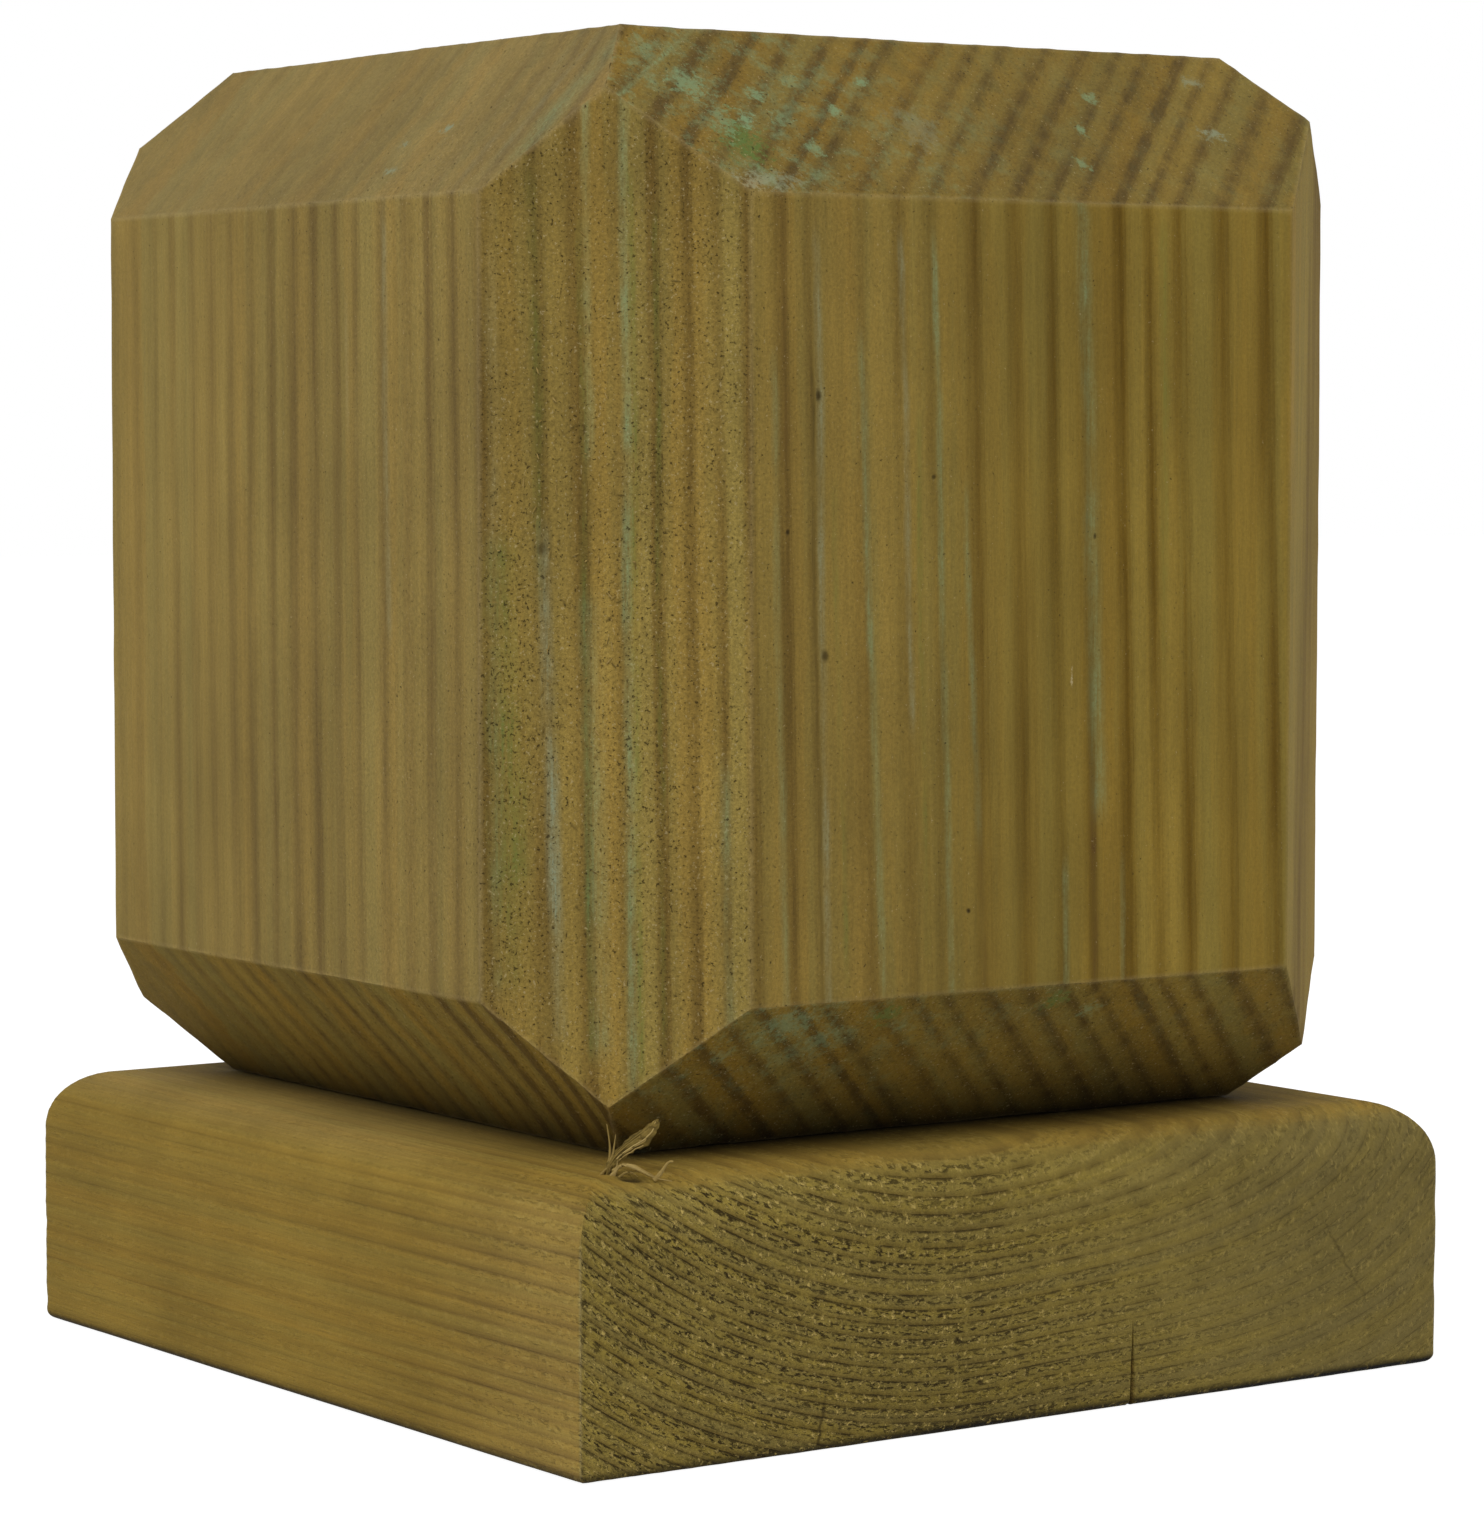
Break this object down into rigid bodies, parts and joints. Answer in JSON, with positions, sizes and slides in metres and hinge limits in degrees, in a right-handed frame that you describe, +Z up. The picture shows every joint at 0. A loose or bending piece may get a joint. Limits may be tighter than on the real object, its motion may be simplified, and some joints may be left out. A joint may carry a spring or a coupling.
{
  "type": "post cap",
  "caption": "Wooden fence post cap: a cube block with all its edges bevelled, screwed and glued from below to a square base plate with rounded top edges.",
  "frame": {"origin": "middle of the plate's underside, where the cap sits on its post", "axes": "+Z up through the block, -Y the plate's front end-grain side, -X its long-grain side"},
  "size_m": [0.1, 0.1, 0.1272],
  "materials": {
    "plate_wood": "planed pressure-treated pine board, rough-sawn end grain, green-brown tint",
    "block_wood": "planed pressure-treated pine post, sawn bevels, green-brown tint with pale copper residue",
    "screw_steel": "yellow-passivated zinc-plated steel"
  },
  "bodies": {
    "root": {"base_plate": "plate_wood", "bevelled_block": "block_wood", "fixing_screw_left": "screw_steel", "fixing_screw_right": "screw_steel"}
  },
  "joints": []
}
